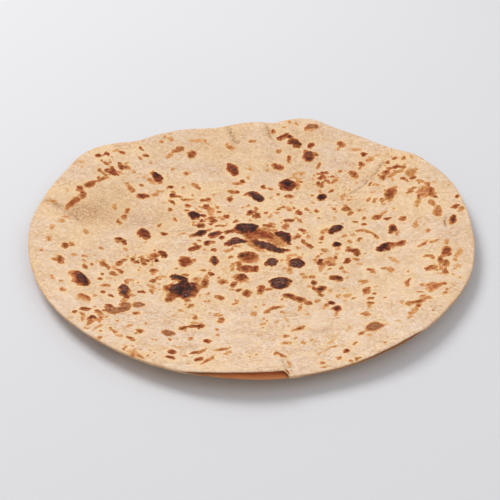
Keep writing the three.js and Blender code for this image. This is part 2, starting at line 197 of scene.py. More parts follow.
BROWN_MARKS = [
    (5.5, 5, 13, 8.5, -30), (10, 4.2, 7.4, 6.6, -60), (-0.5, 3.5, 11, 5.5, -50), (-1.3, -15.5, 10.4, 8.6, 0),
    (-28.4, -47.5, 12, 3.4, 83), (-40.8, -54.6, 8, 4.1, 85), (-43.6, -46.4, 6.4, 2.5, -60),
    (-42, -44.2, 5, 2, 30), (-43.8, -45.5, 3, 2, -40), (-29.4, -52.4, 4, 2.7, 20),
    (-91.3, -44.5, 12, 4, -65), (-35.3, -21.5, 9.5, 7, -80), (-1.8, -26.6, 10.4, 5.6, -4),
    (-6, -22.5, 5, 2.5, -75), (-4.5, -35, 7.5, 6.5, -60), (-1.6, 48.4, 5, 3.4, 0), (-1.5, -49, 5.6, 4.6, 80),
    (-15.5, -53, 4.6, 2.8, -30), (-13.8, -38.8, 4.2, 3.5, -20), (-23.8, -41, 8.5, 3.8, 90),
    (-51.3, -31, 4, 3.6, 0), (-51.2, -40.8, 3.6, 3, 40), (-34.3, -34.2, 3.6, 2.4, 0),
    (-32.3, -57, 3, 1.8, 0), (-52.5, -16.5, 4, 3, 30), (-53.3, -19.5, 3, 2, 80), (-101.5, -29, 8, 3, -65),
    (-104.3, -29, 3, 2, 0), (-101, -15.5, 5, 2.6, 85), (-98, -13.3, 3.6, 2, -45), (-70, -24.5, 8, 2.8, 62),
    (-72.3, -36.2, 4.4, 2.6, -40), (-78.5, -28, 6, 3, -50), (-65, -43.2, 3.4, 1.8, -80),
    (-75.3, -48.3, 4.5, 2.4, 5), (-76.2, -55, 2, 1.8, 0), (-84, -61.3, 6.6, 2.9, -35),
    (-72.3, -72.3, 2.6, 2.4, 0), (-75.5, -74.8, 4.8, 2.4, -40), (-83.4, -77.9, 4.4, 1.4, -45),
    (-77.8, -84, 2.1, 1.5, 0), (-78.8, -86.8, 2.4, 1.1, 85), (-74.5, -83, 4, 1.2, -50),
    (-73.6, -80.5, 2.2, 1.1, -60), (-57, -72.3, 3.3, 2.6, 0), (-53.2, -89, 4.6, 2.4, -80),
    (-14, -72.8, 4.4, 3, 80), (-11.8, -101, 4.6, 1.3, 30), (6, -45.5, 7.6, 3.3, 80),
    (10, -44.8, 3.5, 1.8, 0), (25.5, -52.8, 8, 4, -32), (37.3, -48.7, 3.1, 2.6, 0), (54.3, -4.2, 3, 1.6, 90),
    (30.4, -55.7, 3.5, 3, 0), (12.5, -61.3, 8.4, 2.2, 25), (9, -64.3, 3, 2, 10), (25, -79.3, 8.2, 1.9, 36),
    (43.7, -108.2, 3, 1.8, 90), (61.3, -45, 7.2, 3.2, 62), (63, -53, 2.8, 2.2, 35),
    (62.6, -57.4, 2.7, 2.3, 0), (65.2, -48.3, 2, 2, 0), (84.8, -59.8, 10.4, 2.8, 14),
    (86.3, -62.6, 4.6, 2.4, 70), (97.5, -44.8, 5, 3, 20), (100.4, -43.8, 4.6, 2.9, 10), (96, -27, 6, 3, 42),
    (107, -12.7, 9.8, 4.8, 82), (102.6, -21, 10, 2.5, 78), (105, -24, 8, 1.8, 80), (104, -31.5, 4, 2, 85),
    (83.5, -1, 6, 4.3, 50), (78, -3, 4, 5, 0), (78.5, -1.5, 4, 3, 20), (95.7, -2.8, 8, 1.2, 38),
    (83.7, -38.7, 6.4, 1.6, 68), (41.8, -18.9, 2.7, 2.2, 0), (44.5, -20.4, 3.6, 2.6, 10),
    (81.5, 48, 11, 6, 65), (104.5, 45, 11, 3.6, -80), (97.3, 42, 5, 2, 80), (93.4, 48.6, 7.6, 1.6, 42),
    (95.7, 60, 3, 2.7, 0), (107.8, 31.2, 2.5, 1.5, 90), (80, 68, 5.4, 4, 10), (78.3, 64.2, 6, 2.7, 80),
    (82.6, 71.5, 3.7, 3.3, 0), (90.7, 71.4, 3.6, 2.5, -65), (86.3, 23, 4.1, 3, 85),
    (71.8, 26.3, 6.8, 3.3, 40), (66.5, 11.8, 5, 2, -35), (69.7, 7.8, 6.5, 2, -60), (61.3, 13, 5, 2, 15),
    (64, 19.4, 2.5, 2.1, 0), (59.2, 21.6, 3.2, 2.2, 0), (60.5, 4, 4, 1.5, 60), (120, 27.5, 3.5, 2.4, 60),
    (78.5, 10.5, 2, 2, 0), (60.3, 70.8, 4.6, 3.2, -80), (61.7, 67.8, 4.8, 3.6, -75),
    (55, 100, 5.8, 4.5, -60), (33, 113.5, 2.4, 1.6, 90), (21.8, 106.5, 3, 2.5, 0), (12.5, 113, 3.6, 2, -75),
    (16.2, 93.5, 3.5, 3.2, 0), (22, 87.2, 4.5, 2.8, 88), (38.4, 89.7, 3.8, 3.2, 0),
    (32.4, 91.8, 3.6, 1.6, 80), (22, 47.5, 5.6, 3.8, 0), (6.6, 57.5, 4.5, 2.4, 90),
    (10.8, 55.2, 2.6, 2.2, 0), (55.2, 35.7, 5, 4, 75), (56.9, 30.9, 4.2, 2.1, 45), (53.5, 34.5, 2, 2, 0),
    (32.3, 34, 2.6, 1.8, -60), (37.6, 32.2, 2.6, 2.3, 0), (9.5, 14.3, 7, 4, -15), (25.8, 4.9, 6.6, 2.3, 30),
    (39.7, 5, 4, 1.8, 85), (18, 35.6, 3.4, 2.3, 45), (15.6, 33.6, 3, 1.4, 50), (24.3, 35, 2.9, 1.6, 90),
    (8.3, 29, 2.2, 2.1, 0), (43, 69.2, 3, 2.2, 0), (40.8, 59.4, 3, 2.2, 0), (49.3, 64, 4.6, 1.6, 65),
    (-12.4, 42.7, 5, 3.4, 90), (-12.3, 51, 4.5, 3.2, -70), (-9, 50.7, 3.2, 3, 0),
    (-37.2, 34.5, 3.8, 2.4, -65), (-39.5, 41.3, 3.5, 2.5, 0), (-46.3, 45, 4, 4, 0), (-43, 44, 4, 2, -15),
    (-8.8, 18.7, 3.8, 2.2, 50), (-43.2, 19, 4, 1.6, -65), (-51.6, 13.2, 3.4, 1.5, 80), (-23, 22, 5, 3.6, 20),
    (-17.5, 13.8, 5, 1.4, -10), (-25.7, 42, 3.9, 3, 60), (-8.6, 59.9, 3, 1.9, 5),
    (-32.3, 55.3, 5.8, 1.9, -72), (-95, 46.5, 8, 4, 48), (-90, 51.5, 9, 1.5, 42), (-100.3, 41, 5.5, 3.6, 80),
    (-98.2, 36, 9, 2.8, -75), (-102.5, 27.5, 12, 3.4, 62), (-72.5, 20, 4.4, 2.4, 85),
    (-71.7, 26.3, 6.4, 2, 82), (-65.7, 52.8, 2.2, 1.8, 90), (-75.2, 67, 4, 3, -20), (-65, 80.2, 3.4, 3, -60),
    (-91, 61, 3, 2, -60), (-88.5, 58.5, 6, 0.9, -45), (-45.5, 93.5, 7, 4.5, 60), (-48.7, 90.7, 3, 2, 70),
    (-37.8, 89.3, 8, 4.8, 85), (-21, -2, 2.8, 2.5, 0), (-31, -4.1, 2.4, 2, 0), (-23.8, 9.3, 2, 1.2, 0),
    (1.5, 30.2, 1.9, 1.7, 0), (-73.8, -4.2, 2.5, 2, 90), (-75, 14.8, 4.8, 1.9, -62),
    (-71.3, 48.3, 6, 2.4, -62), (64.6, 75.3, 2.8, 2, 40), (53.2, 73.4, 2.3, 2.1, 0),
    (68.6, 44.2, 4.2, 1.8, 62), (71.9, 42.6, 4, 1.8, 62), (76.2, 43.2, 3.4, 2.2, 80),
    (-66, -91.3, 4.6, 2, -40), (-19, -112.5, 10, 1.3, 54), (-21.4, -103.2, 4.4, 1, 55),
    (-51.2, -112, 3.6, 1, -40), (-54.6, -111, 2.4, 0.9, 80), (15.5, -105.8, 6, 2.6, -42),
    (97, -15.3, 4.6, 1.8, 10), (99.3, -16.9, 3.2, 1.4, -75), (-37.3, 29.4, 2.7, 2.5, 0),
    (33.3, -32.5, 3.6, 1.8, 10), (49.2, -23.5, 3, 2, 80), (-46.5, 49, 3, 2, 0), (19.5, 116.2, 3.6, 1.6, 30),
    (18.3, -86.7, 3.1, 1.7, 5), (-28.7, -1.2, 1.9, 1.7, 0), (-32.8, -60, 1.2, 1.2, 0),
    (2.7, 33.4, 3.4, 1.6, -75), (15.4, 49, 2.8, 1.6, 85), (48, 34.8, 2.8, 1.9, 75),
    (-3.4, 47.4, 2.8, 2.6, 0), (38.4, 0, 1.5, 1.3, 0), (64.6, 25.6, 2.7, 1.5, 75), (55.2, 2, 2.6, 1.6, 80),
    (64.9, -24.8, 3.4, 2.9, -40), (-78.2, -37.3, 2.5, 1.8, 90), (-78.8, -42.4, 2.3, 1.5, -50),
    (-88, -32.5, 4.2, 1.4, -62), (-96.2, -57.2, 1.8, 1.2, -60), (-30.6, -61.2, 4.2, 2, 60),
    (26.3, -61, 3.4, 1.5, 75), (-27.3, -71.6, 3.6, 1.2, -80), (91.7, -56.8, 3.2, 1.8, 20),
    (-88, 68.4, 3, 1.9, -60), (-39.7, 69, 3.4, 2.3, 70), (-14.8, 97.8, 2.6, 1.6, -60),
    (40.2, 79.8, 4.4, 1.4, 68), (29.2, 63.7, 2.1, 1.9, 0), (86.2, 81.5, 2.8, 2.1, 45),
    (91.7, 80, 3.1, 1.9, 70), (82, 77.8, 2.9, 2, 60), (90, 60.2, 2.8, 2.1, -60), (91.7, 57.9, 3, 1.7, -50),
    (103.6, 53, 3.2, 2.4, 0), (17.4, 105, 5, 2.8, 30), (-57.5, -97.2, 4.2, 2.2, -35),
    (18.8, -93.4, 3, 1.1, 0), (18.5, -121.2, 1.6, 1.1, 80), (55.6, -86.8, 2.6, 1, 40),
    (52.2, -94.7, 2.6, 0.9, 50), (49.3, -110.2, 1.4, 1.1, 0), (52, -109, 2, 1, 90), (62.7, -78.7, 6, 1.2, 8),
    (60.4, -83.4, 3.2, 1.6, 20), (-67.3, -71.8, 3.6, 1.8, 40), (-73, -72.4, 2.4, 2.2, 0),
    (-58.1, -61.4, 1.6, 1, 0), (-85, -29.6, 2.2, 1.5, -60), (-75.8, -31.8, 2.6, 1.2, -75),
    (-69, -34, 2.6, 1.6, 0), (-25.4, -28.6, 2.4, 1.8, 0), (-10.7, -16.6, 3.8, 1.5, 65),
    (107, 29, 2.6, 1.8, 60), (105.8, 23.4, 3, 1.8, 80), (107.6, 25.6, 1.6, 1.2, 0),
    (40.3, -57.5, 3, 1.8, 70), (-31, -20.5, 2.4, 2.1, 0), (-6, -46, 2.6, 2, 0), (-33.6, 57, 2.2, 1, -75),
    (27.8, 21.8, 5.6, 1.2, -58), (106.3, 40.2, 2.5, 2.5, 0), (15.6, 78.8, 8, 4.8, -38),
    (30.8, -1.5, 4.4, 2.2, -58), (58.6, -67.6, 2.8, 1.8, 0), (-0.8, 104.3, 3, 1.2, -5),
]
TAN_MARKS = [
    (13.5, -0.5, 15, 9, -42), (9, 10, 12, 3, 0), (1.5, -3, 12, 5, -50), (4, -8, 11, 2.2, -38),
    (-1, -17.5, 11, 8, 0), (27.5, -16.2, 3, 3, 0), (21.2, -18.5, 2.6, 9.5, 5), (-34, 57.6, 4.4, 2.4, -75),
    (-11.3, 60.3, 2, 2, 0), (-24, 30, 10, 3.8, -80), (-22, 47.5, 3, 1.8, 80), (-17.5, 23, 3, 2, 0),
    (-32.8, 17.3, 2.5, 2, 90), (-36.5, 41.5, 6, 2, -5), (-73.6, 51, 5, 2.6, -62), (-79, 29, 5, 2, -80),
    (-71.3, 28, 3, 2, 80), (-110.3, 0.5, 4.5, 2.3, 85), (-91.7, 0.9, 5, 1.9, -64), (-105, 13.5, 4, 1.5, 0),
    (-110, -10.5, 5, 2.6, -60), (-61.5, 58.5, 2.5, 2, 0), (-71.3, 64, 3, 1.6, -60), (-77, 70.5, 3, 1.4, -60),
    (-79, 62, 2, 2, 0), (-68.7, 77.2, 3, 1.6, -65), (-83, 82, 3.2, 2.2, -50), (-51, 85, 7, 2, 60),
    (-14.5, 98.5, 7, 3.4, -60), (-51.3, 103.5, 4.5, 3.5, -50), (-57, 98.8, 3.5, 1.8, 85),
    (-29.4, 103.6, 5.4, 1.3, -65), (-0.5, 104, 5, 2, -10), (-48, 71, 3.5, 1.4, 75), (50.8, 66.5, 2.5, 1, 80),
    (23, 67.5, 4, 1.2, 60), (27, 66.5, 4, 1.2, -70), (26, 72, 3, 1.6, 50), (30, 72, 3, 1.2, 60),
    (29, 67, 2, 1.2, 0), (27, 59.5, 9, 2.5, 88), (40.5, 54, 5, 2, 90), (37.5, 100.5, 2.5, 1.4, 50),
    (52.7, 95.5, 2.5, 1.4, 90), (36, 112.5, 6, 2, 10), (23, 121, 2.5, 1.2, 80), (12, 17, 4, 3, 0),
    (14.5, 29.5, 3, 2, 0), (11, 25, 4, 1.5, 80), (41.5, 11.5, 7, 3.6, 45), (57.5, 8.5, 3, 2, 50),
    (52.5, 7.5, 3, 1.4, 60), (52, 19, 3, 1, 80), (71.5, 82.5, 6, 4.5, 60), (96.2, 81, 2.6, 1.2, 90),
    (84, 65, 4, 2.5, 50), (87, 67.5, 7, 2.8, 20), (97, 68, 3, 3, 0), (71, 51, 2.5, 1.5, 0),
    (84.5, 53, 4, 3, 60), (80.5, 42, 5, 2, 65), (101.5, 46, 12, 8, 70), (100, 56, 6, 2, -20),
    (96, 36.4, 7, 2.2, 72), (104, 35, 7.4, 2.8, -72), (93.2, 16, 5.6, 2.1, 82), (99, 8.1, 4.4, 3, 85),
    (82.5, 9, 5, 1.6, 70), (76.5, 30, 5, 2, 50), (119, 25, 2.5, 1.5, 0), (108.3, -3.5, 4.4, 2, 75),
    (102, -1.5, 6, 1.6, 30), (111.5, -17.5, 3, 2, 70), (98.8, -26.5, 4, 3, 40), (102.3, -27.5, 3, 1.2, 85),
    (76.3, -14.3, 3, 2, 0), (66.5, -27, 3.6, 2.1, -50), (72.3, -23.7, 3.4, 1.8, 15), (76, -25, 5, 3, -65),
    (76.3, -27.3, 3, 1.8, -80), (95, -43, 3, 3, 0), (94.3, -49, 5, 3.2, 60), (88.8, -50.5, 3, 1.8, 0),
    (89.4, -54.8, 4.6, 2.2, 50), (92, -56.8, 2.4, 2.2, 0), (101, -52.5, 2.6, 1.8, 30),
    (78.3, -58.5, 3, 1.6, 80), (48.3, -5, 4, 2, 85), (41, -7.3, 4.5, 3, 0), (43, -15.3, 8, 1.9, 0),
    (39.5, -21, 6, 4, 80), (44.6, -20, 4, 3, 20), (35.5, -17, 7, 1.6, 85), (51.5, -26.8, 3, 2.4, -40),
    (21.4, -26.8, 8, 2.2, 85), (18.5, -25.6, 2, 1.6, 0), (29.5, -33, 3, 2, 90), (46.6, -49.6, 3.6, 2, 80),
    (31.5, -41.5, 2, 2, 0), (38.5, -60, 3.5, 1.6, 70), (60.6, -36.3, 4.6, 2.9, -10), (61.7, -61, 3, 1.5, 90),
    (2.5, -66.5, 3.4, 2.8, 60), (7.2, -74.8, 2.8, 2, 25), (19, -93.3, 5, 2.4, 0), (27, -93.2, 2.4, 2, 30),
    (44.3, -66.7, 5.4, 1.5, 80), (-9.5, -25.5, 7, 2.2, 85), (-23.3, -35.8, 5, 2, 85), (-43.5, -48, 3, 3, 0),
    (-9, -46, 2.5, 1.5, 0), (-21.3, -50, 2.2, 1.8, 0), (-51, -34.5, 2, 1.5, 0), (-48.5, -37, 4, 2, 55),
    (-7.5, -5.5, 5, 1.5, 10), (-14.7, -39, 5, 4.4, 60), (-68.7, -11.6, 2.2, 2, 0),
    (-81.4, -13.2, 2.2, 1.8, 0), (-89.8, -22.5, 2.6, 1.8, 0), (-88.5, -51, 3, 2, 0),
    (-103.3, -46, 4.5, 1.8, -75), (-98.3, -48.8, 2, 1.6, 0), (-64.5, -61.5, 6, 2, 85),
    (-79.3, -90.7, 2.5, 1.5, 0), (-73, -87.5, 3, 1.4, 85), (-71.8, -98.3, 2.4, 2, 0),
    (-63, -95.5, 3, 1.8, 0), (-15.5, -68, 3.5, 2, 10), (-28, -92.5, 3.4, 2.2, 45), (-26, -77, 6, 2.5, 10),
    (-45.5, -95.3, 3.4, 1.8, 0), (-9.8, -105, 6, 1.8, 50), (-29.5, -109.3, 2.5, 1.8, 0),
    (-55, -92, 2.2, 2, 0), (-58.8, -84.5, 2.4, 1.1, 60), (-12.5, -9.8, 3.5, 2, 0), (-95, -23, 2, 1.8, 0),
    (-89, -27, 3, 1.5, -50), (-84, -21, 2, 1.4, 0), (-83, -27, 2.2, 1.5, 0), (-79, -24.5, 2.6, 1.6, 80),
    (-112.5, -22, 2, 2, 0), (11.3, 46, 2.6, 1.5, 80), (9, 80, 2.2, 1.3, 80), (9.3, 75.5, 2, 1.3, 80),
    (-1.8, 77, 2.6, 1.6, -60), (-2.3, 67.5, 3, 1.2, 85), (27, 119, 3.6, 1.5, -50),
    (41.6, -97.6, 3.4, 1.3, 30), (31.3, -90.6, 2.6, 1.4, 40), (-15.5, -82, 2, 1.5, 80),
    (-15.3, -87.5, 2, 1.6, 80), (94.6, 65.5, 7, 6, 80), (82.4, -70, 11, 2.4, 64), (68.3, -79.4, 4, 1, 5),
    (22, 33.5, 5, 2.6, -60), (62.5, 34, 3.2, 2.6, 40), (91.8, -56, 4, 2, 30), (32.3, 6.2, 4.4, 2, 88),
    (-114, 26.7, 4, 1.6, -10), (-106.8, 38.8, 2.4, 1.6, 90), (-24.8, -9.2, 2, 1.8, 0),
    (-57, 45, 2.8, 2.4, 0), (-55.6, 48.8, 2, 1.8, 0), (-50.3, 37.5, 2.4, 1.2, 20), (-34.6, 46, 1.6, 1.6, 0),
    (-40.8, 54.2, 2, 1.8, 0), (-5.5, 34, 2, 1.3, 0), (-53, 49, 2, 1.2, 0), (-1.8, 35.8, 2.6, 1.4, 80),
    (-0.4, 20.7, 3, 1.8, -60), (35.8, 41.3, 2, 1.4, 80), (25.6, 24, 3, 1.2, 45), (26, -6.5, 2, 1.7, 30),
    (47.6, -10.7, 2.4, 1.5, 80), (55, 39.2, 2.4, 1.6, 0), (57.5, -15.5, 4, 1.6, -35),
    (59.5, -19.4, 2.4, 1.3, 10), (58, 44.9, 1.7, 1.5, 0), (53.4, 47, 5, 1.6, 80), (76.4, 38.8, 2.2, 1.8, 0),
    (37, 61.3, 2.2, 1.3, 80), (46, 56.6, 1.8, 1.5, 0), (-79.4, -58.9, 2, 1.5, 0), (-63, -40.7, 3.6, 1.6, 15),
    (-60.3, -55, 2.3, 2, 0), (-51.2, -49.4, 4.4, 2, 88), (-51.6, -45.4, 2.2, 1.7, 0),
    (-53.2, -44, 1.8, 1.5, 0), (-6.5, -55.6, 2, 1.8, 0), (-20.8, -56.3, 2.1, 1.7, 0),
    (-34.8, -65.8, 2, 1.8, 0), (16.5, -59.4, 3.2, 1.5, 10), (18, -64.4, 2, 1.6, 80),
    (36, -53.5, 1.8, 1.6, 0), (28, -30.4, 2.6, 2, 80), (40.5, -29.6, 2.2, 2, 0), (102.6, -49, 2.2, 1.4, 30),
    (95.8, -45.3, 9, 6.4, 45), (90.6, -42.4, 2.4, 2, 0), (-61.8, 74.6, 3.2, 1.3, 85),
    (-64.4, 60.6, 2.6, 2, 80), (-38, 70.6, 3, 2, -50), (-52.6, 109.3, 2.4, 1.4, 30),
    (-55.6, 105.4, 2.4, 1.2, 80), (-8, 60.4, 5.6, 3.1, 5), (22.4, 83.2, 1.9, 1.7, 0),
    (-13, -101.6, 9.5, 2, 30), (-38.3, -94.6, 2.2, 1.3, -60), (-51.3, -81.5, 1.8, 1.3, 90),
    (26, -78.2, 5.4, 2.6, 30), (35.8, -114.9, 1.9, 1.3, 0), (38.2, -114.4, 1.8, 1, 90),
    (19.3, -113.5, 4.4, 1.1, -80), (66.5, -96.8, 1.4, 1.2, 0), (-69, -74.4, 5, 2, -10),
    (-84.4, -62.6, 7, 4, -28), (-78.2, -69.8, 1.6, 1.2, 80), (-83, -78, 5, 2.4, -45),
    (-96, -56.8, 4.2, 2.8, -60), (82.8, -41.8, 4.6, 1.7, 70), (66.3, -41.8, 1.7, 1.2, 60),
    (38, -25, 6, 1.8, 85), (106.5, 26, 9, 4.8, 80), (-28, -38.3, 5.2, 3.6, 30), (19.5, 15.4, 6.6, 3.4, 80),
    (73, 58.4, 3.6, 1, 50), (59.3, -67.8, 5.2, 3.6, 0), (-38.8, 5.2, 4.6, 1.4, 40),
    (-45.2, -35.8, 2.6, 1.5, 50), (-82.5, -26.8, 2.8, 1.2, 85),
]
FAINT_MARKS = [
    (-106, 8, 5, 4, -60), (-103, 66, 4.5, 3.6, 80), (-35, 105, 8, 4, 0), (-38.5, 104.5, 4, 3, 0),
    (47.5, 25, 4, 2, 60), (76.5, 86, 3, 2, 0), (82.3, 86, 2.5, 2, 0), (111, -27, 5, 3, 80),
    (103.8, -33.5, 3.6, 1.6, 80), (78.4, -16.8, 8, 3, -50), (42.5, -45, 4, 2.5, 80),
    (19, -71, 3.5, 1.4, -65), (50, -80.5, 4, 1, 60), (-33, -101.3, 2.8, 2, 0), (-40.5, -103.3, 3.5, 1.5, 0),
    (-72.5, -30.5, 4, 2, -70), (22.5, -13.6, 6, 2.4, 10), (25, 70, 6, 1.8, 70), (28.6, 72, 7, 1.8, -60),
    (31.5, 73, 4, 1.5, 80), (-54, -109.5, 8, 3, -30), (40.6, -92.6, 6, 1.8, 42), (34.8, -103, 4.4, 1.8, 50),
    (45, -96.8, 4.6, 1.3, 5), (74.5, -77.2, 2.8, 1.3, 0), (60, -88.8, 3, 2, -20), (-87, -63.6, 3.4, 2.4, 80),
    (-75, -63, 2, 1.6, 80), (-73, -40.5, 4, 1.4, 20), (-38.5, 6, 5, 1.2, 45), (-14, -28, 2.6, 2, 80),
    (113.5, -14, 9, 3.2, 70), (106.5, -45.8, 3, 1, 50), (43, -17.5, 8, 8, 0), (-60, 57.3, 8, 3.4, -45),
    (63, 94, 9, 3.4, -15), (38.5, -99.6, 5.2, 1.5, 45), (51.2, -49, 5, 3.4, 20), (49.6, -54, 2, 1.6, 0),
]

# Smooth flat scorches, as tan as an acorn, which stay even in their middle.
SMOOTH_MARKS = [
    (-69.3, -70.9, 8.8, 5.8, -38), (-63.6, -68.6, 7.4, 5, 55), (-63, -65.6, 6, 5.4, 60),
    (-56.3, -63.3, 5.4, 4.6, 20), (-39.5, -88.6, 5.8, 5.4, 0), (62.6, -81, 9, 6, 32),
    (36.6, 115.4, 8.4, 4.6, 15),
]

# How far the marks lie from where they are drawn, since the sheet puffs up towards the eye.
MARKS_SLIP = (0.3, -0.7)

# How the marks' outlines stray: grain, seed and how far.
MARK_WANDERS = [(5, 1, 0.6), (2.6, 2, 0.6)]

# Sprays of freckles: middle, how far they spread, how many, and their size. Then how much the size varies,
# and how wide a freckle is for its length.
FRECKLE_SPRAYS = [
    (-25, 29, 17, 40, 1.3), (-60, -20, 9, 40, 1.1), (-76, -85, 9, 26, 0.8), (64, 45, 22, 24, 1.2),
    (104, -28, 8, 5, 1), (-54.5, -110, 8, 18, 0.9), (53.5, -109.8, 5, 8, 0.9), (111, -24, 8, 6, 1.1),
    (42, 66, 8, 12, 1), (98, 50, 14, 12, 1.3), (-84, 66, 13, 16, 1.1), (28, 22, 22, 22, 1.1),
    (0, -45, 38, 24, 1.1), (-45, -40, 34, 20, 1.1), (45, -45, 30, 14, 1.1), (0, -90, 60, 20, 1),
    (84, 72, 14, 12, 1.2), (75, -40, 34, 6, 1.1),
]
FRECKLE_VARIETY = 0.25
FRECKLE_WIDTHS = (0.45, 0.9)

# Halos of dough that dried yellow: middle, length, width, turn and strength.
HALOS = [
    (42, 13, 14, 9, 40, 1), (22, -16, 14, 12, 0, 1), (25, -12.5, 16, 5, 5, 0.9), (-2, -16, 14, 13, 0, 0.8),
    (27, 62, 10, 14, 0, 0.9), (3, 45, 16, 13, -45, 0.7), (-35, -46, 26, 22, -60, 0.6),
    (43, -19, 13, 12, 0, 0.8), (8, 5, 46, 28, -12, 0.5), (-12, 75, 18, 12, -65, 0.5),
    (106, -18, 26, 20, 70, 0.6), (100, 45, 26, 22, -70, 0.7), (90, 67, 26, 16, 10, 0.6),
    (75, -4, 20, 13, 40, 0.5), (48, -48, 16, 12, 0, 0.6), (-3, -28, 18, 12, 0, 0.6), (50, -48, 9, 7, 0, 0.5),
]

# Where dry flour leaves the dough paler and greyer: middle, length, width, turn and strength.
DUSTED = [
    (92, -4, 60, 80, 0, 0.35), (5, -94, 190, 54, 0, 1), (22, -36, 56, 36, 0, 0.5),
    (85, -75, 60, 50, 40, 0.5), (-88, -68, 50, 44, -40, 0.7),
]

# Where grey ash shows on the dark marks: middle, length, width, turn and strength.
ASH_SPOTS = [
    (16, -40, 9, 7, 0, 1), (11.8, -20, 7, 5, 60, 1), (25, -22.5, 7, 5, 0, 0.9),
    (-19.9, -19.8, 7, 3.6, -85, 0.8), (-64.8, -51.5, 9, 5, -80, 0.9), (-90, -43.5, 9, 4, -60, 0.8),
    (-39.5, -46, 4, 5, 0, 0.7), (-31.2, -50, 3, 7, 0, 0.6), (-33, -53.3, 3, 2.4, 0, 0.9),
    (-40.5, -38, 4, 3, 0, 0.7), (9, -5.5, 15, 4.4, -28, 0.8), (-9.5, -0.5, 10, 4, 15, 0.9),
    (3.6, 45.5, 6, 4.4, -50, 0.9), (-12.2, 75, 8, 4.4, -68, 0.7), (34.5, 89, 5, 4, 90, 0.7),
    (47.6, 12.8, 6, 3, 48, 0.5), (-2, 12, 9, 4, 0, 0.5), (18.5, 5.5, 5, 4, 0, 0.4),
    (-19.6, 6.2, 6, 3, 25, 0.6),
]

# Smudges of dark flour in the folds, with painted shade in the folds, and broad painted shade over the
# dimmer left, back and right of the sheet: middle, length, width, turn and strength.
FLOUR_AND_SHADE_SMUDGES = [
    (-96, 19, 18, 14, -40, 1), (-86, 22, 20, 18, 0, 0.45), (-112, 25, 17, 4.4, -33, 0.9),
    (37, -82, 13, 7, 15, 0.8), (-14, 112, 17, 3.6, -72, 0.9), (-10.5, 105, 8, 3.4, -60, 0.7),
    (10, 113, 18, 3.2, -78, 0.9), (75, 71, 18, 2.5, 65, 0.6), (109.5, 16, 11, 2, 85, 0.6),
    (-60, 18, 40, 26, 10, 0.55), (-85, 36, 40, 20, 40, 0.5), (-20, 104, 110, 36, 0, 0.3),
    (-24, 80, 22, 20, 0, 0.4), (50, 72, 60, 46, 0, 0.25), (8, 68, 16, 22, 0, 0.3),
    (113, 0, 36, 16, 90, 0.25), (-30, 54, 26, 18, 0, 0.2),
]

# The seed of the small waves and of the freckles.
SEED = 11

# How far off a mark its reach is worked out, and the least slope that it is divided by.
OUT_OF_REACH = 4
LEAST_SLOPE = 1e-6

# The rings of the rim, from the top face's border over the edge to the underside's border: the inset from
# the outline, or else the share of the seam's depth, the level above the sheet's underside, whether it
# belongs to the upper layer, and how strongly the painted shade of a mouth's gap shows on it.
UPPER = LOWER_LAYER + SEAM_WIDTH
TOP_INSET = 1.6
UNDERSIDE_INSET = 3
RIM_RINGS = [
    (TOP_INSET, 0, THICKNESS, 1, 0),
    (0.9, 0, 1.57, 1, 0),
    (0.4, 0, 1.48, 1, 0),
    (0.12, 0, 1.3, 1, 0),
    (0.05, 0, 1.08, 1, 0),
    (0.12, 0, UPPER, 1, 0),
    (0, 0.4, UPPER, 1, 1),
    (0, 1, UPPER, 1, 1),
    (0, 1, LOWER_LAYER, 0, 1),
    (0, 0.4, LOWER_LAYER, 0, 1),
    (0.12, 0, LOWER_LAYER, 0, 1),
    (0, 0, 0.45, 0, 0.8),
    (0.15, 0, 0.18, 0, 0.5),
    (0.9, 0, 0, 0, 0),
    (UNDERSIDE_INSET, 0, 0, 0, 0),
]
TOP_RING = 0
UNDERSIDE_RING = len(RIM_RINGS) - 1

# The band of the rim that the griddle tans: its width, and the share of the way out beyond which it lies.
RIM_BAND = 1.2
RIM_SHARE = 0.98


def bell(distance, width):
    return np.exp(-((distance / width) ** 2))


def ease(value, low, high):
    """0 below low, 1 above high, and a smooth rise between them."""
    t = np.clip((value - low) / (high - low), 0, 1)
    return t * t * (3 - 2 * t)


def waves_at(direction, waves):
    total = np.zeros_like(direction)
    for at, by, wide in waves:
        apart = (direction - at + 180) % 360 - 180
        total += by * bell(apart, wide)
    return total


def outline_at(direction):
    around = np.radians(direction)
    outline = RADIUS + waves_at(direction, OUTLINE_WAVES)
    random = np.random.default_rng(SEED)
    for count in EDGE_WAVES:
        outline += EDGE_STRAY * np.sin(count * around + random.uniform(0, 2 * np.pi))
    return outline


def sheet_at(share, direction):
    """The height of the sheet's underside at a share of the way out to the edge."""
    up = np.clip((share - FLAT_SHARE) / (1 - FLAT_SHARE), 0, 1)
    rise = RIM_LEVELLING * ease(up, 0, 1) + (1 - RIM_LEVELLING) * up * up
    return rise * (RIM_LIFT + waves_at(direction, LIFT_WAVES))


def mouth_at(direction, pocket):
    """How far the pocket's mouth is open at one direction, from 0 to 1."""
    along = np.clip((direction % 360 - pocket["start"]) / (pocket["end"] - pocket["start"]), 0, 1)
    widest = pocket["widest"]
    rising = np.sin(np.minimum(along / widest, 1) * np.pi / 2) ** pocket["pinch"]
    falling = np.cos(np.clip((along - widest) / (1 - widest), 0, 1) * np.pi / 2)
    return rising * falling


def pocket_at(inset, direction, pocket):
    """How far the pocket's roof is lifted off the lower layer, at a distance in from the edge."""
    open_share = mouth_at(direction, pocket)
    depth = np.maximum(pocket["depth"] * np.sqrt(open_share), LEAST_DEPTH)
    return pocket["gap"] * open_share * (1 - ease(inset, 0, depth))


def seam_shade_at(direction):
    """How strong the painted shade on the shut seam is at one direction, from 0 to 1."""
    start, end, fade, painted_shade = SEAM_SHADE
    along = direction % 360
    return painted_shade * ease(along, start, start + fade) * (1 - ease(along, end - fade, end))


